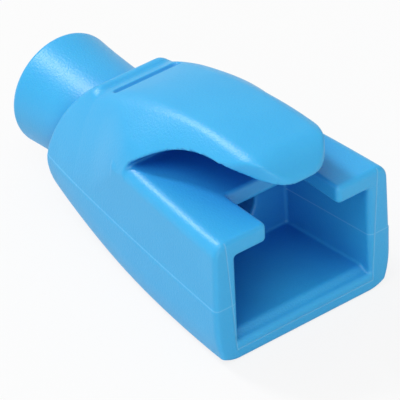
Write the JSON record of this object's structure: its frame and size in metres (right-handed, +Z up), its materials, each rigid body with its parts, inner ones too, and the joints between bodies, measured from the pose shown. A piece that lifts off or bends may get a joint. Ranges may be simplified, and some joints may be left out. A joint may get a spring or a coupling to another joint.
{
  "type": "cable strain relief boot",
  "caption": "Blue moulded strain relief boot for a modular data plug, with a square plug socket, a latch guard arching over an open slot and a round cable collar.",
  "frame": {"origin": "on the cable axis at the rear end face of the collar", "axes": "+Y out along the cable, the plug socket opens towards -Y, +Z up out of the latch guard"},
  "size_m": [0.0154, 0.0286, 0.0148],
  "materials": {
    "boot": "matte"
  },
  "bodies": {
    "root": {"boot": "boot"}
  },
  "joints": []
}
